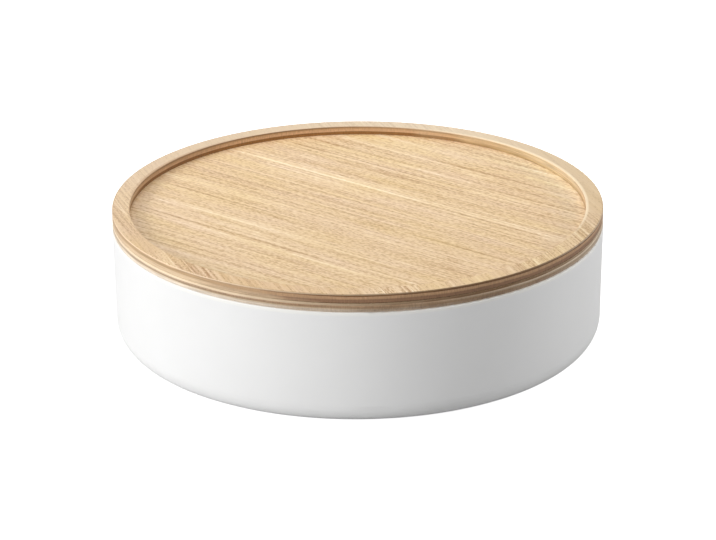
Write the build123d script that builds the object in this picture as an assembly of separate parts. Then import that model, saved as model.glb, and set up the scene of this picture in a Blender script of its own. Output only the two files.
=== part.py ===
from build123d import *
from math import cos, pi, sqrt
import os

# Round storage case: a white moulded bowl, a divided tray that lifts out of it, and a
# plywood lid whose raised rim makes it a shallow tray of its own. All lengths are in
# millimetres. The origin is on the surface that the case stands on, at its centre, and
# +Z is up. The front of the case faces -Y.

# Lid: a plywood panel with a plywood ring glued on top of it
LID_DIAMETER = 199.6
RIM_WIDTH = 7.0
RIM_CORE_THICKNESS = 3.3
VENEER_THICKNESS = 0.4
PANEL_CORE_THICKNESS = 1.5
PANEL_BACK_THICKNESS = 1.7
RIM_ARRIS_ROUND = 0.3
JOINT_EASE = 0.2
BACK_EDGE_ROUND = 0.4

# Ring under the lid that drops into the mouth of the bowl
LOCATING_RING_WIDTH = 7.0
LOCATING_RING_HEIGHT = 3.6
LOCATING_CLEARANCE = 0.7
LOCATING_LEAD_IN = 0.8

# Bowl, whose rim stands out past the lid by a narrow ledge
BOWL_HEIGHT = 47.7
BOWL_WALL = 2.8
BOWL_FLOOR = 2.8
RIM_LEDGE = 0.2
BOWL_DRAFT = 0.7
BOWL_BASE_ROUND = 8.5
BOWL_RIM_ROUND = 0.7

# Ribs inside the bowl that carry the tray
RIB_COUNT = 6
RIB_THICKNESS = 2.0
RIB_REACH = 8.0
RIB_TOP_ROUND = 1.2
WELL_DEPTH = 14.0

# Soft pads under the bowl
PAD_COUNT = 4
PAD_DIAMETER = 14.0
PAD_THICKNESS = 1.6
PAD_POCKET_DEPTH = 1.0
PAD_POCKET_CLEARANCE = 0.25
PAD_EDGE_ROUND = 0.3
PAD_INSET = 28.0

# Felt on the floor of the well and in the bays of the tray
FELT_THICKNESS = 1.2
FELT_CLEARANCE = 0.4

# Tray
TRAY_HEIGHT = 20.0
TRAY_CLEARANCE = 0.8
TRAY_WALL = 2.0
TRAY_FLOOR = 1.8
TRAY_BASE_ROUND = 3.0
TRAY_LIP_ROUND = 0.6
SPINE_WALL = 3.0
DIVIDER_WALL = 2.0
BAY_CORNER_ROUND = 5.0
BAY_FLOOR_ROUND = 1.0
RING_BAY_WIDTH = 94.0
RING_BAY_CORNER_ROUND = 2.5
PIN_BAY_SIDE = 12.0
PIN_BAY_CORNER_ROUND = 4.0

# Handle that rises from the middle wall of the tray
HANDLE_WIDTH = 76.0
HANDLE_RISE = 5.5
HANDLE_SHOULDER_ROUND = 20.0
FINGER_SLOT_WIDTH = 32.0
FINGER_SLOT_HEIGHT = 9.0
HANDLE_BRIDGE = 3.5

# Ring cushion: soft rolls side by side on a board
CUSHION_BOARD_THICKNESS = 1.6
CUSHION_CLEARANCE = 0.4
ROLL_COUNT = 5
ROLL_GAP = 0.4
# Each roll is fullest at its middle and drawn in at its ends, by this share of its size
ROLL_STATIONS = 9
ROLL_END_TAPER_SHARE = 0.22
ROLL_CROWN_POWER = 6
ROLL_SIDE_SHARE = 0.55
ROLL_FOOT_SHARE = 0.8

# One overrun takes every cut clear through its face
CUT_OVERRUN = 1.0

# Heights from the surface up
bowl_base_z = PAD_THICKNESS - PAD_POCKET_DEPTH
bowl_floor_z = bowl_base_z + BOWL_FLOOR
bowl_rim_z = bowl_base_z + BOWL_HEIGHT
panel_core_z = bowl_rim_z + PANEL_BACK_THICKNESS
panel_veneer_z = panel_core_z + PANEL_CORE_THICKNESS
panel_top_z = panel_veneer_z + VENEER_THICKNESS
rim_veneer_z = panel_top_z + RIM_CORE_THICKNESS
rim_top_z = rim_veneer_z + VENEER_THICKNESS
tray_seat_z = bowl_floor_z + WELL_DEPTH
tray_floor_z = tray_seat_z + TRAY_FLOOR
tray_top_z = tray_seat_z + TRAY_HEIGHT
handle_top_z = tray_top_z + HANDLE_RISE
cushion_top_z = tray_floor_z + CUSHION_BOARD_THICKNESS

# Radii from the lid inwards
lid_radius = LID_DIAMETER / 2
rim_inner_radius = lid_radius - RIM_WIDTH
bowl_rim_radius = lid_radius + RIM_LEDGE
bowl_base_radius = bowl_rim_radius - BOWL_DRAFT
mouth_radius = bowl_rim_radius - BOWL_WALL
well_radius = bowl_base_radius - BOWL_WALL
rib_inner_radius = well_radius - RIB_REACH
tray_radius = well_radius - TRAY_CLEARANCE
bay_radius = tray_radius - TRAY_WALL
pad_circle_radius = bowl_base_radius - PAD_INSET

# Ring bay in the back half of the tray, with the pin bay behind it
ring_bay_front = SPINE_WALL / 2
pin_bay_front = sqrt(bay_radius**2 - (RING_BAY_WIDTH / 2) ** 2) - PIN_BAY_SIDE
ring_bay_back = pin_bay_front - DIVIDER_WALL
ring_bay_depth = ring_bay_back - ring_bay_front
side_bay_inner = RING_BAY_WIDTH / 2 + DIVIDER_WALL


def turned(outline, rounds=()):
    """A solid turned about the Z axis from (radius, height) points, with some corners rounded."""
    face = make_face(Polyline(*outline, close=True))
    for corner, radius in rounds:
        face = fillet(face.vertices().sort_by_distance(corner)[0], radius)
    return revolve(Plane.XZ * face, Axis.Z)


def turned_plate(outer, bottom, top, inner=0, rounds=()):
    """A flat disc, or a flat ring where it has an inner radius."""
    outline = [(inner, bottom), (outer, bottom), (outer, top), (inner, top)]
    return turned(outline, rounds)


def lid_rim_face_veneer():
    arrises = [(lid_radius, rim_top_z), (rim_inner_radius, rim_top_z)]
    rounds = [(arris, RIM_ARRIS_ROUND) for arris in arrises]
    return turned_plate(lid_radius, rim_veneer_z, rim_top_z, rim_inner_radius, rounds)


def lid_rim_core():
    """The ring is eased where it meets the panel, which leaves a fine groove round the lid."""
    rounds = [((lid_radius, panel_top_z), JOINT_EASE)]
    return turned_plate(lid_radius, panel_top_z, rim_veneer_z, rim_inner_radius, rounds)


def lid_panel_face_veneer():
    return turned_plate(lid_radius, panel_veneer_z, panel_top_z)


def lid_panel_core():
    return turned_plate(lid_radius, panel_core_z, panel_veneer_z)


def lid_panel_back_ply():
    rounds = [((lid_radius, bowl_rim_z), BACK_EDGE_ROUND)]
    return turned_plate(lid_radius, bowl_rim_z, panel_core_z, rounds=rounds)


def lid_locating_ring():
    """The lower outer edge is rounded so that the ring finds the mouth of the bowl."""
    outer = mouth_radius - LOCATING_CLEARANCE
    bottom = bowl_rim_z - LOCATING_RING_HEIGHT
    rounds = [((outer, bottom), LOCATING_LEAD_IN)]
    return turned_plate(outer, bottom, bowl_rim_z, outer - LOCATING_RING_WIDTH, rounds)


def tray_rib():
    """A rib from the wall of the bowl inwards, at the side of +X, for the tray to stand on."""
    height = tray_seat_z - bowl_floor_z
    profile = Rectangle(RIB_REACH + CUT_OVERRUN, height, align=(Align.MIN, Align.MIN))
    profile = fillet(profile.vertices().sort_by_distance((0, height))[0], RIB_TOP_ROUND)
    place = Pos(rib_inner_radius, 0, bowl_floor_z)
    return place * extrude(Plane.XZ * profile, RIB_THICKNESS / 2, both=True)


def bowl_shell():
    """A drafted bowl with an even wall round its foot, ribs inside and pockets for the pads."""
    outside = [
        (0, bowl_base_z),
        (bowl_base_radius, bowl_base_z),
        (bowl_rim_radius, bowl_rim_z),
        (0, bowl_rim_z),
    ]
    inside = [
        (0, bowl_floor_z),
        (well_radius, bowl_floor_z),
        (mouth_radius, bowl_rim_z),
        (mouth_radius, bowl_rim_z + CUT_OVERRUN),
        (0, bowl_rim_z + CUT_OVERRUN),
    ]
    body = turned(outside, [((bowl_base_radius, bowl_base_z), BOWL_BASE_ROUND)])
    hollow = turned(inside, [((well_radius, bowl_floor_z), BOWL_BASE_ROUND - BOWL_WALL)])
    rib = tray_rib()
    for turn in PolarLocations(0, RIB_COUNT):
        hollow -= turn * rib
    shell = body - hollow
    rim_edges = shell.faces().sort_by(Axis.Z)[-1].edges()
    shell = fillet(rim_edges, BOWL_RIM_ROUND)
    pocket_radius = PAD_DIAMETER / 2 + PAD_POCKET_CLEARANCE
    pocket_top = bowl_base_z + PAD_POCKET_DEPTH
    pocket = turned_plate(pocket_radius, bowl_base_z - CUT_OVERRUN, pocket_top)
    for place in pad_places():
        shell -= place * pocket
    return shell


def pad_places():
    """The pads stand evenly on a circle, midway between the X and Y axes."""
    half_step = 180 / PAD_COUNT
    return PolarLocations(pad_circle_radius, PAD_COUNT, start_angle=half_step)


def foot_pad():
    rounds = [((PAD_DIAMETER / 2, 0), PAD_EDGE_ROUND)]
    return turned_plate(PAD_DIAMETER / 2, 0, PAD_THICKNESS, rounds=rounds)


def well_liner():
    radius = rib_inner_radius - FELT_CLEARANCE
    return turned_plate(radius, bowl_floor_z, bowl_floor_z + FELT_THICKNESS)


def bay_outline(x_low, x_high, y_low, y_high, corner_round):
    """The part of a rectangle that lies inside the tray's outer wall, with rounded corners."""
    middle = Pos((x_low + x_high) / 2, (y_low + y_high) / 2)
    field = middle * Rectangle(x_high - x_low, y_high - y_low)
    outline = Circle(bay_radius) & field
    return fillet(outline.vertices(), corner_round)


def felt_bay_outlines():
    """Four bays lined with felt: one half-moon in front, and three round the ring bay."""
    beyond = tray_radius
    half_width = RING_BAY_WIDTH / 2
    back = ring_bay_front
    sides = BAY_CORNER_ROUND
    return {
        "necklace": bay_outline(-beyond, beyond, -beyond, -back, sides),
        "left_bay": bay_outline(-beyond, -side_bay_inner, back, beyond, sides),
        "right_bay": bay_outline(side_bay_inner, beyond, back, beyond, sides),
        "pin_bay": bay_outline(
            -half_width, half_width, pin_bay_front, beyond, PIN_BAY_CORNER_ROUND
        ),
    }


def ring_bay_outline():
    half_width = RING_BAY_WIDTH / 2
    return bay_outline(
        -half_width, half_width, ring_bay_front, ring_bay_back, RING_BAY_CORNER_ROUND
    )


def bay_hollow(outline):
    """What a bay takes out of the tray, with a round at its floor."""
    depth = tray_top_z - tray_floor_z + CUT_OVERRUN
    hollow = Pos(0, 0, tray_floor_z) * extrude(outline, depth)
    floor_edges = hollow.faces().sort_by(Axis.Z)[0].edges()
    return fillet(floor_edges, BAY_FLOOR_ROUND)


def tray_handle():
    """A low arch on the middle wall, and the slot for the fingers under it, in the XZ plane."""
    slot_top = handle_top_z - HANDLE_BRIDGE
    root = slot_top - FINGER_SLOT_HEIGHT
    half = HANDLE_WIDTH / 2
    foot_width = HANDLE_WIDTH + 2 * HANDLE_SHOULDER_ROUND
    foot_height = tray_top_z - root
    foot = Rectangle(foot_width, foot_height, align=(Align.CENTER, Align.MIN))
    arch = ThreePointArc((-half, tray_top_z), (0, handle_top_z), (half, tray_top_z))
    chord = Line((half, tray_top_z), (-half, tray_top_z))
    outline = Pos(0, root) * foot + make_face(arch + chord)
    for side in (-half, half):
        shoulder = outline.vertices().sort_by_distance((side, tray_top_z))[0]
        outline = fillet(shoulder, HANDLE_SHOULDER_ROUND)
    slot = SlotOverall(FINGER_SLOT_WIDTH, FINGER_SLOT_HEIGHT)
    return outline, Pos(0, slot_top - FINGER_SLOT_HEIGHT / 2) * slot


def divider_tray():
    rounds = [((tray_radius, tray_seat_z), TRAY_BASE_ROUND)]
    tray = turned_plate(tray_radius, tray_seat_z, tray_top_z, rounds=rounds)
    for outline in [*felt_bay_outlines().values(), ring_bay_outline()]:
        tray -= bay_hollow(outline)
    lip_edges = tray.faces().sort_by(Axis.Z)[-1].edges()
    tray = fillet(lip_edges, TRAY_LIP_ROUND)
    outline, slot = tray_handle()
    tray += extrude(Plane.XZ * outline, SPINE_WALL / 2, both=True)
    tray -= extrude(Plane.XZ * slot, SPINE_WALL, both=True)
    return tray


def felt_piece(outline):
    """Felt cut to a bay, clear of the round at the bay's floor."""
    cut = offset(outline, -(BAY_FLOOR_ROUND + FELT_CLEARANCE))
    return Pos(0, 0, tray_floor_z) * extrude(cut, FELT_THICKNESS)


def ring_cushion_board():
    cut = offset(ring_bay_outline(), -(BAY_FLOOR_ROUND + CUSHION_CLEARANCE))
    return Pos(0, 0, tray_floor_z) * extrude(cut, CUSHION_BOARD_THICKNESS)


def roll_section(x, width, height):
    """A flat foot, leaning sides and a crowned top, square to the length of the roll."""
    half = width / 2
    foot = half * ROLL_FOOT_SHARE
    side_z = height * ROLL_SIDE_SHARE
    outline = Curve() + [
        Line((-foot, 0), (foot, 0)),
        Line((foot, 0), (half, side_z)),
        ThreePointArc((half, side_z), (0, height), (-half, side_z)),
        Line((-half, side_z), (-foot, 0)),
    ]
    return Plane(origin=(x, 0, 0), x_dir=(0, 1, 0), z_dir=(1, 0, 0)) * make_face(outline)


def ring_rolls():
    """Equal rolls fill the depth of the ring bay, each lofted along X, closer at its ends."""
    length = RING_BAY_WIDTH - 2 * CUSHION_CLEARANCE
    room = ring_bay_depth - 2 * CUSHION_CLEARANCE - (ROLL_COUNT - 1) * ROLL_GAP
    width = room / ROLL_COUNT
    sections = []
    for n in range(ROLL_STATIONS):
        along = -cos(pi * n / (ROLL_STATIONS - 1))
        size = width * (1 - ROLL_END_TAPER_SHARE * abs(along) ** ROLL_CROWN_POWER)
        sections.append(roll_section(along * length / 2, size, size))
    roll = loft(sections, ruled=True)
    first_y = ring_bay_front + CUSHION_CLEARANCE + width / 2
    step = width + ROLL_GAP
    return [Pos(0, first_y + n * step, cushion_top_z) * roll for n in range(ROLL_COUNT)]


def all_pieces():
    pieces = {
        "bowl_shell": bowl_shell(),
        "well_liner": well_liner(),
        "divider_tray": divider_tray(),
        "ring_cushion_board": ring_cushion_board(),
        "lid_rim_face_veneer": lid_rim_face_veneer(),
        "lid_rim_core": lid_rim_core(),
        "lid_panel_face_veneer": lid_panel_face_veneer(),
        "lid_panel_core": lid_panel_core(),
        "lid_panel_back_ply": lid_panel_back_ply(),
        "lid_locating_ring": lid_locating_ring(),
    }
    pad = foot_pad()
    for number, place in enumerate(pad_places(), start=1):
        pieces[f"foot_pad_{number}"] = place * pad
    for name, outline in felt_bay_outlines().items():
        pieces[f"{name}_liner"] = felt_piece(outline)
    for number, roll in enumerate(ring_rolls(), start=1):
        pieces[f"ring_roll_{number}"] = roll
    return pieces


os.makedirs("parts", exist_ok=True)
for name, piece in all_pieces().items():
    export_step(piece, f"parts/{name}.step")
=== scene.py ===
# %% [markdown]
# # A round storage case with a plywood lid
# The construction is already decided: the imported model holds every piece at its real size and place.
# This lesson only adds what an eye would notice: wood grain, plies on a sanded edge, the skin of a
# moulding, felt and suede, and the light of a plain white studio.

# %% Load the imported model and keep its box
import math

import bmesh
import bpy
from mathutils import Matrix, Quaternion, Vector, noise


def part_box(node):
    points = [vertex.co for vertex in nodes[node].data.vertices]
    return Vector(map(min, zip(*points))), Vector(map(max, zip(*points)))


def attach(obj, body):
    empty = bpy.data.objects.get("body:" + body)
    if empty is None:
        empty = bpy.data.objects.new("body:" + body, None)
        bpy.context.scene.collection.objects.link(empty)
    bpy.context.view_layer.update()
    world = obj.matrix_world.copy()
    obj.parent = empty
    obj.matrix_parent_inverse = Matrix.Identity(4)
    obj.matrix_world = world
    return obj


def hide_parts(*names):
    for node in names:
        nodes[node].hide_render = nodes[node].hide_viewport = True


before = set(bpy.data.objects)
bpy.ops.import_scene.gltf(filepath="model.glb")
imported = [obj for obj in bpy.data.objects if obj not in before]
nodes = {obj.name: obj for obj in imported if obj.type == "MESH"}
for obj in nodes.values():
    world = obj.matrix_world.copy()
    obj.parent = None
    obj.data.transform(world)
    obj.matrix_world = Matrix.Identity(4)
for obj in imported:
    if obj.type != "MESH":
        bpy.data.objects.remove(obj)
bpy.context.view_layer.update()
scene = bpy.context.scene
scene.view_settings.view_transform = "Standard"
MM = 0.001

# %% [markdown]
# ## The camera
# The photograph was taken from in front and above with a long lens, so the round lid shows as a wide
# ellipse with very little perspective. The camera aims a little under the lid's centre, which puts the
# case above the middle of the picture, and it is rolled by a third of a degree.

# %% Camera
IMAGE_WIDTH_PX = 716
FOCAL_PX = 3298.2
SENSOR_WIDTH = 36.0
CAMERA_DISTANCE = 1.3429
CAMERA_ELEVATION = math.radians(20.651)
CAMERA_PITCH = -0.02067
CAMERA_ROLL = 0.00629

lid_top = Vector((0, 0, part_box("lid_rim_face_veneer")[1][2]))


def make_camera():
    away = Vector((0, -math.cos(CAMERA_ELEVATION), math.sin(CAMERA_ELEVATION)))
    right = Vector((1, 0, 0))
    tilt = Quaternion(right, CAMERA_PITCH)
    forward = tilt @ -away
    roll = Quaternion(forward, CAMERA_ROLL)
    right = roll @ right
    up = right.cross(forward)
    data = bpy.data.cameras.new("photo_camera")
    data.sensor_width = SENSOR_WIDTH
    data.lens = FOCAL_PX / IMAGE_WIDTH_PX * SENSOR_WIDTH
    camera = bpy.data.objects.new("photo_camera", data)
    turn = Matrix((right, up, -forward)).transposed().to_4x4()
    camera.matrix_world = Matrix.Translation(lid_top + CAMERA_DISTANCE * away) @ turn
    scene.collection.objects.link(camera)
    scene.camera = camera
    return camera


camera = make_camera()
print("lens", round(camera.data.lens, 1), "mm")

# %% [markdown]
# ## Floor, backdrop and light
# The photograph has a pure white ground. A floor that were only lit to white would throw far too much
# light back at the case, so the floor and the world are white for the rays that the camera sees, and
# plainer for the rays that light the case. The floor is a little paler on the left, where the wall of
# the case is nearly white. A lamp on the left in front models that wall, a weaker one on the right
# lifts the far edge, and three soft ones above, behind and on the left light the lid.

# %% Helpers for node trees
def add_node(tree, kind, **settings):
    made = tree.nodes.new(kind)
    for name, value in settings.items():
        setattr(made, name, value)
    return made


def feed(tree, socket, value):
    """Link a socket to another, or set its own value."""
    if isinstance(value, bpy.types.NodeSocket):
        tree.links.new(value, socket)
    else:
        socket.default_value = value


def calc(tree, operation, *values, clamp=False):
    made = add_node(tree, "ShaderNodeMath", operation=operation, use_clamp=clamp)
    for socket, value in zip(made.inputs, values):
        feed(tree, socket, value)
    return made.outputs[0]


def total(tree, first, *others):
    for other in others:
        first = calc(tree, "ADD", first, other)
    return first


def product(tree, first, *others):
    for other in others:
        first = calc(tree, "MULTIPLY", first, other)
    return first


def between(tree, value, start, full):
    """0 on the near side of start, 1 past full, and a smooth step between. It may run downwards."""
    made = add_node(tree, "ShaderNodeMapRange", interpolation_type="SMOOTHSTEP")
    feed(tree, made.inputs["Value"], value)
    feed(tree, made.inputs["From Min"], start)
    feed(tree, made.inputs["From Max"], full)
    return made.outputs[0]


def axes_of(tree, vector):
    """The X, Y and Z of a vector."""
    parts = add_node(tree, "ShaderNodeSeparateXYZ")
    feed(tree, parts.inputs[0], vector)
    return parts.outputs


def object_place(tree):
    return add_node(tree, "ShaderNodeTexCoord").outputs["Object"]


def seen_directly(tree, in_gloss):
    """1 for rays from the camera, a lesser share for reflections, 0 for rays that carry light."""
    path = add_node(tree, "ShaderNodeLightPath")
    reflected = calc(tree, "MULTIPLY", path.outputs["Is Glossy Ray"], in_gloss)
    rays = calc(tree, "ADD", path.outputs["Is Camera Ray"], path.outputs["Is Transmission Ray"])
    return calc(tree, "ADD", rays, reflected, clamp=True)


# %% White ground
WORLD_LIGHT = 0.265
WORLD_IN_GLOSS = 0.9
FLOOR_IN_GLOSS = 0.0
FLOOR_SIZE = 6.0
FLOOR_RIGHT = 0.6
FLOOR_LEFT = 0.68
FLOOR_TURNS_FROM = 0.10
FLOOR_TURNS_TO = -0.15
FLOOR_LIFT = 0.95


def make_world():
    world = bpy.data.worlds.new("white_studio")
    world.use_nodes = True
    tree = world.node_tree
    strength = calc(tree, "MAXIMUM", seen_directly(tree, WORLD_IN_GLOSS), WORLD_LIGHT)
    background = tree.nodes["Background"]
    background.inputs["Color"].default_value = (1, 1, 1, 1)
    feed(tree, background.inputs["Strength"], strength)
    scene.world = world


def floor_material():
    material = bpy.data.materials.new("white_floor")
    material.use_nodes = True
    tree = material.node_tree
    tree.nodes.clear()
    across = axes_of(tree, object_place(tree))["X"]
    leftwards = between(tree, across, FLOOR_TURNS_FROM, FLOOR_TURNS_TO)
    matt = add_node(tree, "ShaderNodeBsdfDiffuse")
    paleness = calc(tree, "MULTIPLY_ADD", leftwards, FLOOR_LEFT - FLOOR_RIGHT, FLOOR_RIGHT)
    feed(tree, matt.inputs["Color"], paleness)
    glow = add_node(tree, "ShaderNodeEmission")
    lift = calc(tree, "MULTIPLY", seen_directly(tree, FLOOR_IN_GLOSS), FLOOR_LIFT)
    feed(tree, glow.inputs["Strength"], lift)
    both = add_node(tree, "ShaderNodeAddShader")
    feed(tree, both.inputs[0], matt.outputs[0])
    feed(tree, both.inputs[1], glow.outputs[0])
    out = add_node(tree, "ShaderNodeOutputMaterial")
    feed(tree, out.inputs["Surface"], both.outputs[0])
    return material


def make_floor():
    mesh = bpy.data.meshes.new("floor")
    shape = bmesh.new()
    bmesh.ops.create_grid(shape, x_segments=1, y_segments=1, size=FLOOR_SIZE / 2)
    shape.to_mesh(mesh)
    shape.free()
    mesh.materials.append(floor_material())
    floor = bpy.data.objects.new("floor", mesh)
    scene.collection.objects.link(floor)


make_world()
make_floor()
print("floor", FLOOR_SIZE, "m wide")

# %% Lamps, each with its place and size in metres and its watts
LAMP_AIM = Vector((0, 0, 0.03))
LAMPS = [
    ("key_left", (-1.15, -0.8, 0.45), (0.4, 0.4), 12.2),
    ("edge_right", (1.38, 0.24, 0.45), (0.4, 0.4), 7.2),
    ("top_soft", (0.0, 0.1, 1.5), (1.2, 1.2), 8.6),
    ("left_soft", (-1.2, 0.45, 0.8), (0.6, 0.6), 2.6),
    ("back_soft", (-0.3, 1.0, 1.2), (0.8, 0.6), 3.0),
]


def make_lamp(name, place, size, watts):
    data = bpy.data.lights.new(name, "AREA")
    data.shape = "RECTANGLE"
    data.size, data.size_y = size
    data.energy = watts
    lamp = bpy.data.objects.new(name, data)
    aim = LAMP_AIM - Vector(place)
    lamp.rotation_euler = aim.to_track_quat("-Z", "Y").to_euler()
    lamp.location = place
    scene.collection.objects.link(lamp)


for lamp in LAMPS:
    make_lamp(*lamp)

# %% [markdown]
# ## Tools for finishes
# Every finish here is a pattern in real millimetres, so the helpers give a material its object
# coordinates in mm and draw noise whose marks have a stated length and width. An effect that several
# materials share is put in a node group, which hands out only colours and values. The shader itself
# stays in each material.

# %% Helpers for materials and groups
VALUE = "NodeSocketFloat"
COLOUR = "NodeSocketColor"
VECTOR = "NodeSocketVector"
MIX_FACTOR, MIX_FIRST, MIX_SECOND, MIX_RESULT = 0, 6, 7, 2


def new_group(name, inputs, outputs):
    """An empty node group, its input sockets and its output sockets."""
    group = bpy.data.node_groups.new(name, "ShaderNodeTree")
    for label, kind in inputs:
        group.interface.new_socket(name=label, in_out="INPUT", socket_type=kind)
    for label, kind in outputs:
        group.interface.new_socket(name=label, in_out="OUTPUT", socket_type=kind)
    given = add_node(group, "NodeGroupInput").outputs
    puts = add_node(group, "NodeGroupOutput").inputs
    return group, given, puts


def place_group(tree, group, values):
    made = add_node(tree, "ShaderNodeGroup", node_tree=group)
    for label, value in values.items():
        feed(tree, made.inputs[label], value)
    return made.outputs


def new_material(name, roughness, specular):
    material = bpy.data.materials.new(name)
    material.use_nodes = True
    shader = material.node_tree.nodes["Principled BSDF"]
    shader.inputs["Roughness"].default_value = roughness
    shader.inputs["Specular IOR Level"].default_value = specular
    return material, material.node_tree, shader


def dress(material, *names):
    for name in names:
        for slot in nodes[name].material_slots:
            slot.material = material


def millimetres(tree, turn=0.0, fineness=1.0):
    """Object coordinates in mm, turned so that X runs along a grain, which can be made finer."""
    mapping = add_node(tree, "ShaderNodeMapping")
    feed(tree, mapping.inputs["Vector"], object_place(tree))
    mapping.inputs["Rotation"].default_value = (0, 0, -turn)
    mapping.inputs["Scale"].default_value = (1 / MM, fineness / MM, fineness / MM)
    return mapping.outputs[0]


def marks(tree, vector, size, seed, detail=2.0, roughness=0.55):
    """Soft noise round 0.5 whose marks have about that size in mm along X, Y and Z."""
    drawn = add_node(tree, "ShaderNodeVectorMath", operation="MULTIPLY_ADD")
    feed(tree, drawn.inputs[0], vector)
    feed(tree, drawn.inputs[1], [1 / length for length in size])
    feed(tree, drawn.inputs[2], (seed, seed, seed))
    texture = add_node(tree, "ShaderNodeTexNoise")
    feed(tree, texture.inputs["Vector"], drawn.outputs[0])
    texture.inputs["Scale"].default_value = 1.0
    texture.inputs["Detail"].default_value = detail
    texture.inputs["Roughness"].default_value = roughness
    return texture.outputs[0]


def swing(tree, value, amount):
    """A value round 0.5 turned into one round 0, of that amount."""
    centred = calc(tree, "SUBTRACT", value, 0.5)
    return calc(tree, "MULTIPLY", centred, amount)


def blend(tree, factor, first, second, way="MIX"):
    made = add_node(tree, "ShaderNodeMix", data_type="RGBA", blend_type=way)
    feed(tree, made.inputs[MIX_FACTOR], factor)
    feed(tree, made.inputs[MIX_FIRST], first)
    feed(tree, made.inputs[MIX_SECOND], second)
    return made.outputs[MIX_RESULT]


def tint(tree, colour, by):
    """Multiply a colour by three factors, one for each of red, green and blue."""
    factors = add_node(tree, "ShaderNodeCombineColor")
    for socket, factor in zip(factors.inputs, by):
        feed(tree, socket, factor)
    return blend(tree, 1.0, colour, factors.outputs[0], "MULTIPLY")


def gain(tree, colour, mask, amounts):
    """Lighten or darken a colour inside a mask, by a share for each of red, green and blue."""
    return tint(tree, colour, [calc(tree, "MULTIPLY_ADD", mask, amount, 1.0) for amount in amounts])


def bump(tree, shader, height, depth_mm, strength=1.0):
    made = add_node(tree, "ShaderNodeBump")
    made.inputs["Strength"].default_value = strength
    made.inputs["Distance"].default_value = depth_mm * MM
    feed(tree, made.inputs["Height"], height)
    feed(tree, shader.inputs["Normal"], made.outputs[0])


def rgb(red, green, blue):
    return (red, green, blue, 1.0)


# %% Helpers that tell where a point lies on the round case
def case_place(tree):
    """A point's X and Y in mm, and its distance from the upright axis of the case."""
    axes = axes_of(tree, millimetres(tree))
    flat = add_node(tree, "ShaderNodeVectorMath", operation="MULTIPLY")
    feed(tree, flat.inputs[0], millimetres(tree))
    feed(tree, flat.inputs[1], (1, 1, 0))
    length = add_node(tree, "ShaderNodeVectorMath", operation="LENGTH")
    feed(tree, length.inputs[0], flat.outputs[0])
    return {"X": axes["X"], "Y": axes["Y"], "radius": length.outputs["Value"]}


def region(tree, place, limits):
    """A mask that fades in over each of the limits: what is measured, where it starts and is full."""
    steps = [between(tree, place[name], start, full) for name, start, full in limits]
    return product(tree, *steps)


def end_facing(tree, place, end_grain):
    """1 where a round edge cuts straight across the fibres, 0 where it runs along them."""
    turn = calc(tree, "ARCTAN2", place["Y"], place["X"])
    facing = calc(tree, "COSINE", calc(tree, "SUBTRACT", turn, end_grain))
    return calc(tree, "MULTIPLY", facing, facing)


def flat_facing(tree):
    """1 on faces that look up or down, 0 on upright ones."""
    lean = axes_of(tree, add_node(tree, "ShaderNodeNewGeometry").outputs["Normal"])
    return between(tree, calc(tree, "ABSOLUTE", lean["Z"]), 0.5, 0.92)


print("helpers ready")

# %% [markdown]
# ## Oak veneer
# The lid's face is a sheet of oak sliced thin. The rings of growth, seen from the side, show as straight
# lines about as long as a hand, and the pores cut open along them show as short dark dashes. A
# photograph of oak would be the quick way. Noise stretched along the grain can be turned to any
# direction and never repeats, so one group serves every veneer of the lid. Broad bands, rings, fine
# lines and short flecks add up to one tone, and the tone picks a colour from deep brown to cream.

# %% A group that draws oak, with the length and width of its marks in mm
OAK_DEEP = rgb(0.47, 0.262, 0.105)
OAK_MIDDLE = rgb(0.785, 0.56, 0.315)
OAK_PALE = rgb(0.95, 0.745, 0.495)
OAK_CREAM = rgb(1.0, 0.845, 0.61)
OAK_PORE = rgb(0.40, 0.24, 0.11)
OAK_SAPWOOD = rgb(0.79, 0.655, 0.485)
WANDER_MM = (400, 60, 60)
BANDS_MM = (300, 16, 16)
RINGS_MM = (260, 5, 5)
LINES_MM = (160, 1.1, 1.1)
FLECKS_MM = (1.9, 0.8, 0.8)
DASHES_MM = (3.4, 0.5, 0.5)
DARK_LINES_MM = (160, 5.0, 5.0)
PALE_LINES_MM = (160, 4.0, 4.0)
FAINT_MM = (150, 9, 9)
BLUSH_MM = (50, 8, 8)
BANDS_SHARE = 0.2
RINGS_SHARE = 0.10
LINES_SHARE = 0.85
DARK_LINES_SHARE = -0.18
PALE_LINES_SHARE = 0.34
BLUSH_SHARE = 0.42
LINE_HALF_WIDTH = 0.035
CREAM_TONES = (0.85, 1.3)
OPEN_WOOD_TONES = (0.38, 0.62)
PORE_DASHES = (0.56, 0.68)


def thin_lines(tree, vector, size, seed):
    """Fine lines along the contours of stretched noise, fainter here and stronger there."""
    level = calc(tree, "SUBTRACT", marks(tree, vector, size, seed, detail=1.0), 0.5)
    line = between(tree, calc(tree, "ABSOLUTE", level), LINE_HALF_WIDTH, 0.0)
    faint = between(tree, marks(tree, vector, FAINT_MM, seed + 4.4, detail=1.0), 0.35, 0.65)
    return calc(tree, "MULTIPLY", line, faint)


def wandering(tree, vector):
    """The grain's coordinates, pushed a little sideways so that no line is ruled."""
    wander = swing(tree, marks(tree, vector, WANDER_MM, seed=2.3, detail=1.0), 1.0)
    shift = add_node(tree, "ShaderNodeCombineXYZ")
    feed(tree, shift.inputs["Y"], wander)
    moved = add_node(tree, "ShaderNodeVectorMath", operation="ADD")
    feed(tree, moved.inputs[0], vector)
    feed(tree, moved.inputs[1], shift.outputs[0])
    return moved.outputs[0]


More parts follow.
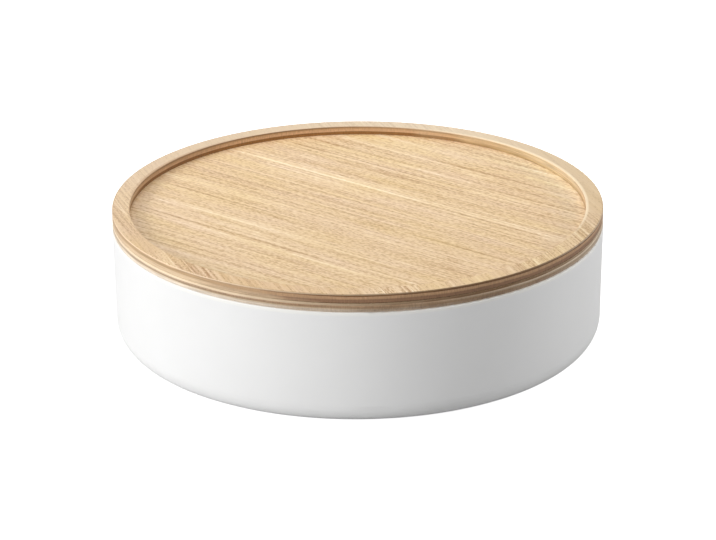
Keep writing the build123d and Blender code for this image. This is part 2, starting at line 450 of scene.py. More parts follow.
def oak_colour(tree, tone, pores):
    lower = calc(tree, "MULTIPLY", tone, 2.0, clamp=True)
    upper = calc(tree, "MULTIPLY_ADD", tone, 2.0, -1.0, clamp=True)
    colour = blend(tree, lower, OAK_DEEP, OAK_MIDDLE)
    colour = blend(tree, upper, colour, OAK_PALE)
    colour = blend(tree, between(tree, tone, *CREAM_TONES), colour, OAK_CREAM)
    return blend(tree, pores, colour, OAK_PORE)


def oak_group():
    settings = ["Streaks", "Contrast", "Pores", "Flecks"]
    group, given, puts = new_group(
        "oak_veneer",
        [("Vector", VECTOR)] + [(label, VALUE) for label in settings],
        [("Colour", COLOUR), ("Roughness", VALUE), ("Height", VALUE)],
    )
    grain = wandering(group, given["Vector"])
    bands = marks(group, grain, BANDS_MM, seed=5.1)
    rings = marks(group, grain, RINGS_MM, seed=8.4, detail=1.0)
    lines = marks(group, grain, LINES_MM, seed=1.7, detail=1.0)
    flecks = marks(group, grain, FLECKS_MM, seed=4.9, detail=1.0)
    dashes = marks(group, grain, DASHES_MM, seed=6.6, detail=1.0)
    dark_lines = thin_lines(group, grain, DARK_LINES_MM, seed=3.9)
    pale_lines = thin_lines(group, grain, PALE_LINES_MM, seed=7.2)

    lively = total(
        group,
        swing(group, bands, BANDS_SHARE),
        swing(group, rings, RINGS_SHARE),
        swing(group, lines, LINES_SHARE),
        swing(group, flecks, given["Flecks"]),
        calc(group, "MULTIPLY", dark_lines, DARK_LINES_SHARE),
        calc(group, "MULTIPLY", pale_lines, PALE_LINES_SHARE),
    )
    tone = calc(group, "MULTIPLY_ADD", lively, given["Contrast"], 0.5)
    tone = calc(group, "ADD", tone, given["Streaks"])

    open_wood = between(group, calc(group, "SUBTRACT", 1.0, tone), *OPEN_WOOD_TONES)
    pores = calc(group, "MULTIPLY", between(group, dashes, *PORE_DASHES), open_wood)
    pores = calc(group, "MULTIPLY", pores, given["Pores"], clamp=True)

    blush = total(group, 1.0, swing(group, marks(group, grain, BLUSH_MM, seed=2.6), BLUSH_SHARE))
    feed(group, puts["Colour"], tint(group, oak_colour(group, tone, pores), [1.0, 1.0, blush]))
    dull = total(group, 0.46, swing(group, lines, 0.12), calc(group, "MULTIPLY", pores, 0.2))
    feed(group, puts["Roughness"], dull)
    relief = total(group, swing(group, lines, 0.5), swing(group, flecks, 0.5))
    feed(group, puts["Height"], calc(group, "SUBTRACT", relief, pores))
    return group


oak = oak_group()
print("oak group nodes", len(oak.nodes))

# %% [markdown]
# ## The streaks one remembers
# Noise alone gives an average oak. What makes this panel that panel are a few long pale streaks and
# dark lines. Each is a soft line at a stated place, broken up by noise, and the list below gives for
# each: where it lies across the grain, the middle of its length, half its length, half its width,
# and how much it lightens or darkens.

# %% Streaks across the panel
PANEL_GRAIN = math.radians(-39.0)
STREAK_INPUTS = ["Across", "Along", "Half Length", "Half Width"]
STREAK_WAVER_MM = (140, 30, 30)
STREAK_BREAKS_MM = (50, 0.8, 0.8)
STREAK_FALL = 1.5
PANEL_STREAKS_MM = [
    (24.2, -30.0, 68.0, 0.8, 0.95),
    (24.0, 55.0, 40.0, 0.5, 0.50),
    (-38.5, -28.0, 56.0, 0.9, 0.70),
    (-39.6, 40.0, 34.0, 0.6, 0.36),
    (54.0, 2.0, 28.0, 0.9, 0.42),
    (-26.0, -74.0, 24.0, 0.8, 0.46),
    (-53.6, 4.0, 72.0, 0.6, 0.46),
    (67.0, 24.0, 44.0, 0.7, -0.42),
    (61.2, -42.0, 28.0, 0.8, -0.42),
    (59.5, 44.0, 30.0, 0.7, -0.28),
    (46.5, -64.0, 12.0, 0.7, -0.34),
    (22.4, 60.0, 32.0, 0.7, -0.22),
    (14.0, 64.0, 26.0, 0.8, -0.24),
    (-6.5, -66.0, 28.0, 0.9, -0.38),
    (-7.2, 60.0, 34.0, 0.7, -0.28),
    (-8.2, 16.0, 12.0, 0.7, -0.32),
    (-23.8, -50.0, 36.0, 0.7, -0.28),
    (-41.4, 42.0, 32.0, 0.6, -0.28),
    (-50.8, -24.0, 56.0, 0.6, -0.26),
    (-34.0, 78.0, 30.0, 8.0, -0.14),
]


def streak_group():
    group, given, puts = new_group(
        "grain_streak",
        [("Vector", VECTOR)] + [(label, VALUE) for label in STREAK_INPUTS],
        [("Streak", VALUE)],
    )
    axes = axes_of(group, given["Vector"])
    waver = swing(group, marks(group, given["Vector"], STREAK_WAVER_MM, seed=9.7, detail=1.0), 1.0)
    away = calc(group, "SUBTRACT", calc(group, "ADD", axes["Y"], waver), given["Across"])
    away = calc(group, "DIVIDE", away, given["Half Width"])
    body = calc(group, "DIVIDE", 1.0, calc(group, "MULTIPLY_ADD", away, away, 1.0))
    body = calc(group, "POWER", body, STREAK_FALL)
    past = calc(group, "SUBTRACT", axes["X"], given["Along"])
    past = calc(group, "ABSOLUTE", calc(group, "DIVIDE", past, given["Half Length"]))
    fade = calc(group, "SUBTRACT", 1.0, between(group, past, 0.45, 1.0))
    broken = between(group, marks(group, given["Vector"], STREAK_BREAKS_MM, seed=3.1), 0.25, 0.6)
    feed(group, puts["Streak"], product(group, body, fade, broken))
    return group


streak = streak_group()


def panel_streaks(tree, vector):
    so_far = 0.0
    for *places, strength in PANEL_STREAKS_MM:
        values = dict(zip(STREAK_INPUTS, places), Vector=vector)
        one = place_group(tree, streak, values)["Streak"]
        so_far = calc(tree, "MULTIPLY_ADD", one, strength, so_far)
    return so_far


print("streaks", len(PANEL_STREAKS_MM))

# %% [markdown]
# ## Sawn edges
# Round the lid the veneer, the cores and the glue between them are all cut through. Where the saw ran
# along the fibres the edge is pale, and where it cut across them the open ends have drunk the lacquer
# and are dark brown. A ring is cut both ways, so its tone turns twice from pale to dark on the way
# round. The group gives that turn, the height inside the layer and the fine flecks; each layer then
# has two colour bands of its own, one for each kind of cut.

# %% A group for sawn edges
PLY_WAVER_MM = (16, 16, 16)
PLY_PATCHES_MM = (14, 14, 3)
LONG_FIBRES_MM = (10, 10, 0.35)
END_FIBRES_MM = (0.55, 0.55, 1.6)
PLY_THREADS_MM = (18, 18, 0.22)
PLY_RELIEF_MM = 0.05


def edge_group():
    group, given, puts = new_group(
        "sawn_edge",
        [("Vector", VECTOR), ("End Grain", VALUE), ("Bottom", VALUE), ("Top", VALUE)],
        [("Share", VALUE), ("End", VALUE), ("Fleck", VALUE)],
    )
    vector = given["Vector"]
    axes = axes_of(group, vector)
    waver = swing(group, marks(group, vector, PLY_WAVER_MM, seed=1.9), 0.35)
    share = add_node(group, "ShaderNodeMapRange")
    feed(group, share.inputs["Value"], calc(group, "ADD", axes["Z"], waver))
    feed(group, share.inputs["From Min"], given["Bottom"])
    feed(group, share.inputs["From Max"], given["Top"])
    feed(group, puts["Share"], share.outputs[0])

    patchy = swing(group, marks(group, vector, PLY_PATCHES_MM, seed=7.7), 0.5)
    facing = end_facing(group, axes, given["End Grain"])
    end = calc(group, "ADD", facing, patchy, clamp=True)
    feed(group, puts["End"], end)

    picked = add_node(group, "ShaderNodeMix", data_type="FLOAT")
    feed(group, picked.inputs[0], end)
    feed(group, picked.inputs[2], marks(group, vector, LONG_FIBRES_MM, seed=3.3))
    feed(group, picked.inputs[3], marks(group, vector, END_FIBRES_MM, seed=5.9))
    threads = swing(group, marks(group, vector, PLY_THREADS_MM, seed=8.8), 0.8)
    feed(group, puts["Fleck"], calc(group, "ADD", picked.outputs[0], threads))
    return group


sawn = edge_group()


def place_edge(tree, node, end_grain):
    low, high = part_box(node)
    values = {
        "Vector": millimetres(tree),
        "End Grain": end_grain,
        "Bottom": low.z / MM,
        "Top": high.z / MM,
    }
    return place_group(tree, sawn, values)


def layer_colours(tree, share, stops):
    """Colour bands through a layer, from its bottom, 0, to its top, 1."""
    made = add_node(tree, "ShaderNodeValToRGB")
    feed(tree, made.inputs[0], share)
    elements = made.color_ramp.elements
    while len(elements) < len(stops):
        elements.new(0.5)
    for element, (place, colour) in zip(elements, stops):
        element.position = place
        element.color = colour
    return made.outputs[0]


def sawn_colour(tree, edge, long_cut, end_cut, reach=1.0):
    """The colour of a sawn layer with its flecks. Height sets the band, and the cut picks the list."""
    pale = layer_colours(tree, edge["Share"], long_cut)
    dark = layer_colours(tree, edge["Share"], end_cut)
    colour = blend(tree, calc(tree, "MULTIPLY", edge["End"], reach, clamp=True), pale, dark)
    shade = calc(tree, "MULTIPLY_ADD", edge["Fleck"], 0.9, 0.55)
    return tint(tree, colour, [shade, shade, shade])


def finish_ply(tree, shader, colour, edge):
    feed(tree, shader.inputs["Base Color"], colour)
    feed(tree, shader.inputs["Roughness"], calc(tree, "MULTIPLY_ADD", edge["Fleck"], 0.2, 0.42))
    bump(tree, shader, edge["Fleck"], PLY_RELIEF_MM)


print("sawn edge group nodes", len(sawn.nodes))

# %% [markdown]
# ## The rim's core
# Under the rim's veneer lies a thick ring of plywood. Outside it is sanded, and glue lines show above
# and below. Inside, the ring is a low wall round the panel that took up more lacquer, so it is warmer
# and browner; its bands darken towards its foot, partly its plies and partly painted shade where it
# stands on the panel, and its left end, which the light from the left doesn't reach, has painted shade.
# One material holds both sides and tells them apart by their distance from the axis.

# %% Rim ring
RIM_MIDDLE_RADIUS = 96.3
RIM_END_GRAIN = math.radians(-58.0)
RIM_LONG_CUT = [
    (0.00, rgb(0.72, 0.54, 0.345)),
    (0.12, rgb(0.74, 0.555, 0.36)),
    (0.48, rgb(0.70, 0.51, 0.32)),
    (0.60, rgb(0.50, 0.335, 0.185)),
    (0.82, rgb(0.49, 0.325, 0.18)),
    (0.94, rgb(0.66, 0.455, 0.275)),
    (1.00, rgb(0.72, 0.52, 0.33)),
]
RIM_END_CUT = [
    (0.00, rgb(0.16, 0.085, 0.04)),
    (0.10, rgb(0.20, 0.11, 0.055)),
    (0.16, rgb(0.275, 0.15, 0.08)),
    (0.46, rgb(0.275, 0.15, 0.08)),
    (0.58, rgb(0.475, 0.28, 0.15)),
    (0.82, rgb(0.485, 0.285, 0.155)),
    (0.90, rgb(0.18, 0.085, 0.03)),
    (1.00, rgb(0.165, 0.08, 0.026)),
]
# Inside, both lists darken towards the foot of the wall: partly its plies, partly painted shade where it
# stands on the panel.
INNER_LONG_CUT = [
    (0.00, rgb(0.50, 0.36, 0.20)),
    (0.10, rgb(0.59, 0.44, 0.24)),
    (0.50, rgb(0.71, 0.565, 0.365)),
    (1.00, rgb(0.75, 0.605, 0.405)),
]
INNER_END_CUT = [
    (0.00, rgb(0.31, 0.15, 0.05)),
    (0.40, rgb(0.28, 0.135, 0.04)),
    (0.47, rgb(0.68, 0.43, 0.25)),
    (0.80, rgb(0.58, 0.37, 0.21)),
    (0.95, rgb(0.36, 0.205, 0.10)),
    (1.00, rgb(0.32, 0.18, 0.085)),
]
END_REACH = 1.55
INNER_END_REACH = 2.0
# Gains on the inner wall: painted shade at its left end, and a darker stretch on the right where the end
# grain turns.
INNER_PAINTED_SHADE_AND_TONE = [
    ((-0.24, -0.27, -0.30), [("X", -48.0, -82.0)]),
    ((-0.12, -0.18, -0.28), [("X", 20.0, 45.0), ("X", 86.0, 66.0)]),
]


def rim_core_material():
    """Sanded plies on the outside, and inside a wall lacquered warmer brown, with painted shade on the
    left.
    """
    material, tree, shader = new_material("sawn_rim_core", 0.5, 0.35)
    edge = place_edge(tree, "lid_rim_core", RIM_END_GRAIN)
    outside = sawn_colour(tree, edge, RIM_LONG_CUT, RIM_END_CUT, END_REACH)
    inside = sawn_colour(tree, edge, INNER_LONG_CUT, INNER_END_CUT, INNER_END_REACH)
    place = case_place(tree)
    # Painted shade at the left end of the inner wall, and the darker stretch on its right.
    for amounts, limits in INNER_PAINTED_SHADE_AND_TONE:
        inside = gain(tree, inside, region(tree, place, limits), amounts)
    outer = calc(tree, "GREATER_THAN", place["radius"], RIM_MIDDLE_RADIUS)
    finish_ply(tree, shader, blend(tree, outer, inside, outside), edge)
    return material


dress(rim_core_material(), "lid_rim_core")
print("rim core dressed")

# %% [markdown]
# ## The panel's core
# The panel is thinner plywood. Its core shows on the edge as a pale band over a darker one. The stain
# and the glue of the face have soaked into the top of the core, so there it takes the veneer's colour.

# %% Panel core, and the bands of the panel's back
CORE_END_GRAIN = math.radians(-98.0)
SOAKED_SHARE = (0.55, 0.75)
VENEER_LONG = rgb(0.97, 0.77, 0.54)
VENEER_END = rgb(0.19, 0.10, 0.042)
CORE_LONG_CUT = [
    (0.00, rgb(0.48, 0.37, 0.26)),
    (0.25, rgb(0.50, 0.385, 0.275)),
    (0.45, rgb(0.84, 0.69, 0.52)),
    (1.00, rgb(0.88, 0.71, 0.53)),
]
CORE_END_CUT = [
    (0.00, rgb(0.31, 0.195, 0.11)),
    (0.30, rgb(0.33, 0.205, 0.115)),
    (0.50, rgb(0.39, 0.235, 0.13)),
    (1.00, rgb(0.42, 0.25, 0.135)),
]
BACK_LONG_CUT = [
    (0.00, rgb(0.58, 0.49, 0.40)),
    (0.12, rgb(0.71, 0.61, 0.50)),
    (0.30, rgb(0.85, 0.73, 0.60)),
    (0.60, rgb(0.85, 0.73, 0.59)),
    (0.85, rgb(0.66, 0.52, 0.37)),
    (1.00, rgb(0.54, 0.41, 0.27)),
]
BACK_END_CUT = [
    (0.00, rgb(0.34, 0.25, 0.18)),
    (0.14, rgb(0.38, 0.28, 0.205)),
    (0.28, rgb(0.33, 0.235, 0.16)),
    (0.62, rgb(0.29, 0.19, 0.12)),
    (0.85, rgb(0.31, 0.20, 0.115)),
    (1.00, rgb(0.30, 0.19, 0.11)),
]


def panel_core_material():
    material, tree, shader = new_material("sawn_panel_core", 0.5, 0.35)
    edge = place_edge(tree, "lid_panel_core", CORE_END_GRAIN)
    colour = sawn_colour(tree, edge, CORE_LONG_CUT, CORE_END_CUT)
    face = place_edge(tree, "lid_panel_core", RIM_END_GRAIN)
    soaked = blend(tree, face["End"], VENEER_LONG, VENEER_END)
    colour = blend(tree, between(tree, edge["Share"], *SOAKED_SHARE), colour, soaked)
    finish_ply(tree, shader, colour, edge)
    return material


dress(panel_core_material(), "lid_panel_core")
print("panel core dressed")

# %% [markdown]
# ## Veneer on the panel and on the rim
# Both faces are the same oak, but they are cut from different sheets, so the rim's grain is finer and
# lies at another angle, and short dark strokes gather at a few places on it. Light and shade are also
# painted into the colour: both faces are painted lighter towards the back, the panel has painted light
# beside the back and right walls and painted shade at its left end, and the rim's inner edge has painted
# shade on the left and a painted highlight on the right. The rim itself is nearly sapwood at the back,
# darker towards the right and a little darker towards the left, and burnt along its outer edge where it
# cuts across the fibres. Each such change is a soft mask over a stated stretch, listed with the colour
# change it makes, so a learner can switch one off and see what it did.

# %% Veneers
RIM_GRAIN = math.radians(-78.0)
RIM_TOP_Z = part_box("lid_rim_face_veneer")[1].z / MM
VENEER_RELIEF_MM = 0.05
VENEER_EDGE_SHARE = 0.9
BACKWARDS = ("Y", -90.0, 90.0)
# Painted light: both oak faces are lighter towards the back.
PAINTED_BACK_LIGHT = 0.09
FRONT_TONE = 0.975
# Painted light and shade on the panel, row by row: painted light beside the back wall, painted light
# beside the right wall, painted shade at the left end, painted light along the back.
PANEL_PAINTED_LIGHT_AND_SHADE = [
    ((0.12, 0.12, 0.17), [("radius", 84.0, 92.5), BACKWARDS, ("X", -70.0, -20.0)]),
    ((0.02, 0.13, 0.24), [("radius", 76.0, 92.0), BACKWARDS, ("X", 40.0, 85.0)]),
    ((-0.16, -0.17, -0.15), [("radius", 82.0, 92.5), ("X", -72.0, -88.0)]),
    ((0.05, 0.09, 0.10), [("Y", 45.0, 80.0), ("X", -30.0, 25.0)]),
]
RIM_FINENESS = 1.7
RIM_CONTRAST = 1.5
RIM_CALM_CONTRAST = 0.6
STROKE_PATCHES = [((-95, 0), 45), ((-71, -71), 26), ((14, -97), 13), ((84, -50), 42), ((10, 97), 40)]
SAPWOOD_SHARE = 0.7
RIM_SHADES = [
    ((-0.12, -0.15, -0.22), [("X", 40.0, 95.0)]),
    ((-0.05, -0.09, -0.12), [("X", 20.0, -40.0)]),
]
INNER_EDGE = ("radius", 94.3, 93.4)
OUTER_EDGE = ("radius", 99.0, 99.6)
# Painted shade on the rim's inner edge at the left, and a painted highlight on it at the right, where
# its round catches the light.
RIM_EDGE_PAINTED_SHADE_AND_HIGHLIGHT = [
    (rgb(0.48, 0.25, 0.10), 0.45, [INNER_EDGE, ("X", -35.0, -75.0), ("Y", -10.0, 40.0)]),
    (rgb(1.0, 0.82, 0.57), 0.8, [INNER_EDGE, ("X", 10.0, 60.0), ("Y", -50.0, -10.0)]),
]
BURNT_SHARE = 0.75


def stroke_mask(tree):
    """Places on the rim, in mm, where the veneer's short dark strokes gather."""
    strokes = 0.0
    for (x, y), reach in STROKE_PATCHES:
        gap = add_node(tree, "ShaderNodeVectorMath", operation="DISTANCE")
        feed(tree, gap.inputs[0], millimetres(tree))
        feed(tree, gap.inputs[1], (x, y, RIM_TOP_Z))
        near = between(tree, gap.outputs["Value"], reach, reach / 2)
        strokes = calc(tree, "MAXIMUM", strokes, near)
    return strokes


def oak_face(tree, shader, place, values):
    """Put the relief and sheen of oak on the shader. Returns its colour with painted light: lighter
    towards the back.
    """
    wood = place_group(tree, oak, values)
    feed(tree, shader.inputs["Roughness"], wood["Roughness"])
    bump(tree, shader, wood["Height"], VENEER_RELIEF_MM)
    # Painted light: the colour grows lighter towards the back.
    painted_back_light = calc(tree, "MULTIPLY_ADD", region(tree, place, [BACKWARDS]), PAINTED_BACK_LIGHT, FRONT_TONE)
    return tint(tree, wood["Colour"], [painted_back_light, painted_back_light, painted_back_light])


def finish_veneer(tree, shader, face, end):
    """The face's colour on the flat, and the sawn veneer on the upright edge."""
    upright = calc(tree, "SUBTRACT", 1.0, flat_facing(tree))
    edge = blend(tree, end, VENEER_LONG, VENEER_END)
    share = calc(tree, "MULTIPLY", upright, VENEER_EDGE_SHARE)
    feed(tree, shader.inputs["Base Color"], blend(tree, share, face, edge))


def panel_veneer():
    material, tree, shader = new_material("panel_oak", 0.5, 0.36)
    vector = millimetres(tree, PANEL_GRAIN)
    place = case_place(tree)
    values = {"Vector": vector, "Contrast": 1.1, "Pores": 0.35, "Flecks": 1.0}
    values["Streaks"] = panel_streaks(tree, vector)
    face = oak_face(tree, shader, place, values)
    # Painted light beside the walls and along the back, and painted shade at the left end.
    for amounts, limits in PANEL_PAINTED_LIGHT_AND_SHADE:
        face = gain(tree, face, region(tree, place, limits), amounts)
    finish_veneer(tree, shader, face, end_facing(tree, place, RIM_END_GRAIN))
    return material


def rim_veneer():
    material, tree, shader = new_material("rim_oak", 0.5, 0.36)
    place = case_place(tree)
    contrast = calc(tree, "MULTIPLY_ADD", stroke_mask(tree), RIM_CONTRAST, RIM_CALM_CONTRAST)
    vector = millimetres(tree, RIM_GRAIN, RIM_FINENESS)
    values = {"Vector": vector, "Contrast": contrast, "Pores": 0.6, "Flecks": 0.6}
    face = oak_face(tree, shader, place, values)
    sapwood = calc(tree, "MULTIPLY", region(tree, place, [BACKWARDS]), SAPWOOD_SHARE)
    face = blend(tree, sapwood, face, OAK_SAPWOOD)
    for amounts, limits in RIM_SHADES:
        face = gain(tree, face, region(tree, place, limits), amounts)
    # Painted shade and a painted highlight on the rim's inner edge.
    for colour, share, limits in RIM_EDGE_PAINTED_SHADE_AND_HIGHLIGHT:
        face = blend(tree, calc(tree, "MULTIPLY", region(tree, place, limits), share), face, colour)
    end = end_facing(tree, place, RIM_END_GRAIN)
    burnt = product(tree, region(tree, place, [OUTER_EDGE]), end, BURNT_SHARE)
    face = blend(tree, burnt, face, VENEER_END)
    finish_veneer(tree, shader, face, end)
    return material


dress(panel_veneer(), "lid_panel_face_veneer")
dress(rim_veneer(), "lid_rim_face_veneer")
print("veneers dressed")

# %% [markdown]
# ## White moulding
# The bowl is moulded in a satin white plastic. Its skin is not a mirror: the mould was lightly blasted,
# which leaves a grain of a third of a millimetre that only shows as a soft sheen. A plain white shader
# would look like paper, so the skin has that grain as relief and a very slow change of tone. The top of
# the bowl's rim is painted whiter, a painted highlight, and the tray is whiter along its lip.

# %% A group for moulded skins, and the bowl
MOULD_GRAIN_MM = (0.35, 0.35, 0.35)
MOULD_CLOUD_MM = (22, 22, 22)
WHITER_TOP_FADE_MM = 0.8
# The top of the bowl's rim is painted whiter: a painted highlight along the rim.
BOWL_RIM_PAINTED_HIGHLIGHT = rgb(0.91, 0.9, 0.87)
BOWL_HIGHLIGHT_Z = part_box("bowl_shell")[1].z / MM - 1.9
TRAY_LIP_WHITE = rgb(0.915, 0.915, 0.91)
TRAY_WHITER_Z = 36.9


def skin_group():
    group, given, puts = new_group(
        "moulded_skin",
        [("Vector", VECTOR), ("Light", COLOUR), ("Dark", COLOUR)],
        [("Colour", COLOUR), ("Roughness", VALUE), ("Height", VALUE)],
    )
    grain = marks(group, given["Vector"], MOULD_GRAIN_MM, seed=2.2)
    cloud = marks(group, given["Vector"], MOULD_CLOUD_MM, seed=6.1)
    mix = total(group, 0.5, swing(group, grain, 0.9), swing(group, cloud, 1.4))
    feed(group, puts["Colour"], blend(group, mix, given["Dark"], given["Light"]))
    dull = total(group, 0.5, swing(group, cloud, 0.1), swing(group, grain, 0.12))
    feed(group, puts["Roughness"], dull)
    feed(group, puts["Height"], grain)
    return group


skin = skin_group()


def moulded_material(name, light, dark, depth_mm, specular, whiter_from_z, top_colour):
    """A moulded skin, whiter from a height upwards; on the bowl's rim that is a painted highlight."""
    material, tree, shader = new_material(name, 0.5, specular)
    vector = millimetres(tree)
    look = place_group(tree, skin, {"Vector": vector, "Light": light, "Dark": dark})
    height = axes_of(tree, vector)["Z"]
    # From that height up the colour is whiter: on the bowl's rim a painted highlight.
    whiter_top = between(tree, height, whiter_from_z, whiter_from_z + WHITER_TOP_FADE_MM)
    feed(tree, shader.inputs["Base Color"], blend(tree, whiter_top, look["Colour"], top_colour))
    feed(tree, shader.inputs["Roughness"], look["Roughness"])
    bump(tree, shader, look["Height"], depth_mm, strength=0.5)
    return material


bowl_skin = moulded_material(
    "white_moulding",
    light=rgb(0.87, 0.87, 0.868),
    dark=rgb(0.85, 0.85, 0.845),
    depth_mm=0.012,
    specular=0.34,
    whiter_from_z=BOWL_HIGHLIGHT_Z,
    top_colour=BOWL_RIM_PAINTED_HIGHLIGHT,
)
tray_skin = moulded_material(
    "tray_moulding",
    light=rgb(0.85, 0.85, 0.84),
    dark=rgb(0.82, 0.82, 0.81),
    depth_mm=0.02,
    specular=0.35,
    whiter_from_z=TRAY_WHITER_Z,
    top_colour=TRAY_LIP_WHITE,
)
dress(bowl_skin, "bowl_shell")
dress(tray_skin, "divider_tray")
print("mouldings dressed")

# %% [markdown]
# ## Plain pieces that only show when the case is open
# Under the lid a ring of plywood drops into the bowl's mouth. Its face is the same veneer, sanded and
# not lacquered, and its edge shows three plies. The panel's back is finished the same way. The board
# under the ring cushion is pressed from grey waste paper, with flecks of every tone, and the pads are
# a soft clear rubber that has picked up dust.

# %% Locating ring, panel back, cushion board and pads
RING_LONG_CUT = [
    (0.00, rgb(0.70, 0.54, 0.36)),
    (0.30, rgb(0.72, 0.56, 0.38)),
    (0.34, rgb(0.44, 0.31, 0.18)),
    (0.64, rgb(0.50, 0.36, 0.22)),
    (0.68, rgb(0.72, 0.56, 0.38)),
    (1.00, rgb(0.74, 0.58, 0.40)),
]
RING_END_CUT = [
    (0.00, rgb(0.46, 0.32, 0.19)),
    (0.30, rgb(0.48, 0.34, 0.20)),
    (0.34, rgb(0.70, 0.55, 0.37)),
    (0.64, rgb(0.72, 0.56, 0.38)),
    (0.68, rgb(0.48, 0.34, 0.20)),
    (1.00, rgb(0.46, 0.32, 0.19)),
]
RING_GRAIN = math.radians(12.0)
BACK_GRAIN = math.radians(-39.0)
SANDED_OAK = {"Contrast": 0.8, "Pores": 0.4, "Flecks": 0.6, "Streaks": -0.05}
BOARD_FLECKS_MM = (0.5, 0.5, 0.5)
BOARD_PULP_MM = (5, 5, 5)
BOARD_DARK = rgb(0.40, 0.36, 0.31)
BOARD_LIGHT = rgb(0.68, 0.63, 0.56)
DUST_MM = (2.5, 2.5, 2.5)
RUBBER_GRAIN_MM = (0.3, 0.3, 0.3)
RUBBER_GREY = rgb(0.62, 0.62, 0.61)
RUBBER_DUSTY = rgb(0.72, 0.71, 0.69)


def sanded_ply_material(name, node, grain, long_cut, end_cut):
    """Plies on the edge and a plain sanded veneer on the flat."""
    material, tree, shader = new_material(name, 0.6, 0.25)
    edge = place_edge(tree, node, RIM_END_GRAIN)
    plies = sawn_colour(tree, edge, long_cut, end_cut)
    wood = place_group(tree, oak, dict(SANDED_OAK, Vector=millimetres(tree, grain)))
    finish_ply(tree, shader, blend(tree, flat_facing(tree), plies, wood["Colour"]), edge)
    return material


def board_material():
    material, tree, shader = new_material("pressed_board", 0.85, 0.15)
    vector = millimetres(tree)
    flecks = marks(tree, vector, BOARD_FLECKS_MM, seed=4.1, detail=3.0)
    pulp = marks(tree, vector, BOARD_PULP_MM, seed=8.8)
    tone = total(tree, 0.5, swing(tree, flecks, 1.1), swing(tree, pulp, 0.5))
    feed(tree, shader.inputs["Base Color"], blend(tree, tone, BOARD_DARK, BOARD_LIGHT))
    bump(tree, shader, flecks, depth_mm=0.08)
    return material


def rubber_material():
    material, tree, shader = new_material("clear_rubber", 0.6, 0.4)
    vector = millimetres(tree)
    dust = marks(tree, vector, DUST_MM, seed=3.6, detail=4.0, roughness=0.7)
    grain = marks(tree, vector, RUBBER_GRAIN_MM, seed=7.5)
    colour = blend(tree, between(tree, dust, 0.4, 0.7), RUBBER_GREY, RUBBER_DUSTY)
    feed(tree, shader.inputs["Base Color"], colour)
    feed(tree, shader.inputs["Roughness"], calc(tree, "MULTIPLY_ADD", dust, 0.4, 0.4))
    bump(tree, shader, grain, depth_mm=0.03)
    return material


ring_ply = sanded_ply_material(
    "sanded_ring_ply", "lid_locating_ring", RING_GRAIN, RING_LONG_CUT, RING_END_CUT
)
back_ply = sanded_ply_material(
    "sawn_panel_back", "lid_panel_back_ply", BACK_GRAIN, BACK_LONG_CUT, BACK_END_CUT
)
pad_names = [name for name in nodes if name.startswith("foot_pad")]
dress(ring_ply, "lid_locating_ring")
dress(back_ply, "lid_panel_back_ply")
dress(board_material(), "ring_cushion_board")
dress(rubber_material(), *pad_names)
print("plain pieces dressed:", 3 + len(pad_names))

# %% [markdown]
# ## Felt
# Each bay, and the well under the tray, has a piece of felt die-cut to its floor. Felt has no weave: it
# is short wool pressed until it holds, so a grey felt is really light and dark fibres lying in all
# directions. Its cut edge is soft and it never lies dead flat. The shape comes from the outline of the
# solid in the model, softened along its top edge, cut into a grid and dented by less than its nap.

# %% Felt material
FELT_DARK = rgb(0.27, 0.262, 0.255)
FELT_LIGHT = rgb(0.58, 0.57, 0.555)
FIBRE_TURNS = [0.3, 1.35, 2.4]
FIBRE_MM = (2.2, 0.16, 0.16)
FELT_CLUMPS_MM = (2.4, 2.4, 2.4)
FELT_CLOUD_MM = (20, 20, 20)
FELT_TONE = 0.36


def felt_material():
    material, tree, shader = new_material("pressed_felt", 0.95, 0.1)
    vector = millimetres(tree)
    fibres = 0.0
    for turn in FIBRE_TURNS:
        fibre = marks(tree, millimetres(tree, turn), FIBRE_MM, seed=2.0 + turn, detail=1.0)
        fibres = calc(tree, "MAXIMUM", fibre, fibres)
    clumps = marks(tree, vector, FELT_CLUMPS_MM, seed=5.5)
    cloud = marks(tree, vector, FELT_CLOUD_MM, seed=9.1)
    uneven = total(tree, swing(tree, fibres, 1.2), swing(tree, clumps, 0.5), swing(tree, cloud, 0.4))
    tone = calc(tree, "ADD", FELT_TONE, uneven)
    feed(tree, shader.inputs["Base Color"], blend(tree, tone, FELT_DARK, FELT_LIGHT))
    shader.inputs["Sheen Weight"].default_value = 0.3
    shader.inputs["Sheen Roughness"].default_value = 0.6
    bump(tree, shader, total(tree, fibres, swing(tree, clumps, 0.6)), depth_mm=0.15)
    return material


felt = felt_material()
print("felt nodes", len(felt.node_tree.nodes))

# %% Felt pieces
SAME_POINT = 1e-6
ON_THE_CUT = 1e-7
FLAT_ANGLE = math.radians(1)
FELT_CREASE = math.radians(35)
FELT_GRID_MM = 5.0
FELT_SOFT_EDGE_MM = 0.4
FELT_DENT_MM = 0.14
FELT_DENT_SIZE_MM = 16.0
FELT_SEED_STEP = 3.7
LINED_WITH_FELT = {
    "well_liner": "bowl_shell",
    "necklace_liner": "divider_tray",
    "left_bay_liner": "divider_tray",
    "right_bay_liner": "divider_tray",
    "pin_bay_liner": "divider_tray",
}


def merged_copy(node_name):
    """The mesh of a CAD node as one closed shell with flat faces joined."""
    shape = bmesh.new()
    shape.from_mesh(nodes[node_name].data)
    bmesh.ops.remove_doubles(shape, verts=shape.verts, dist=SAME_POINT)
    bmesh.ops.dissolve_limit(shape, angle_limit=FLAT_ANGLE, verts=shape.verts, edges=shape.edges)
    return shape


def cut_grid(shape, low, high, step):
    for axis in (0, 1):
        normal = Vector((0, 0, 0))
        normal[axis] = 1
        for n in range(1, int((high[axis] - low[axis]) / step) + 1):
            place = low + normal * (n * step)
            everything = shape.verts[:] + shape.edges[:] + shape.faces[:]
            bmesh.ops.bisect_plane(
                shape, geom=everything, dist=ON_THE_CUT, plane_co=place, plane_no=normal
            )


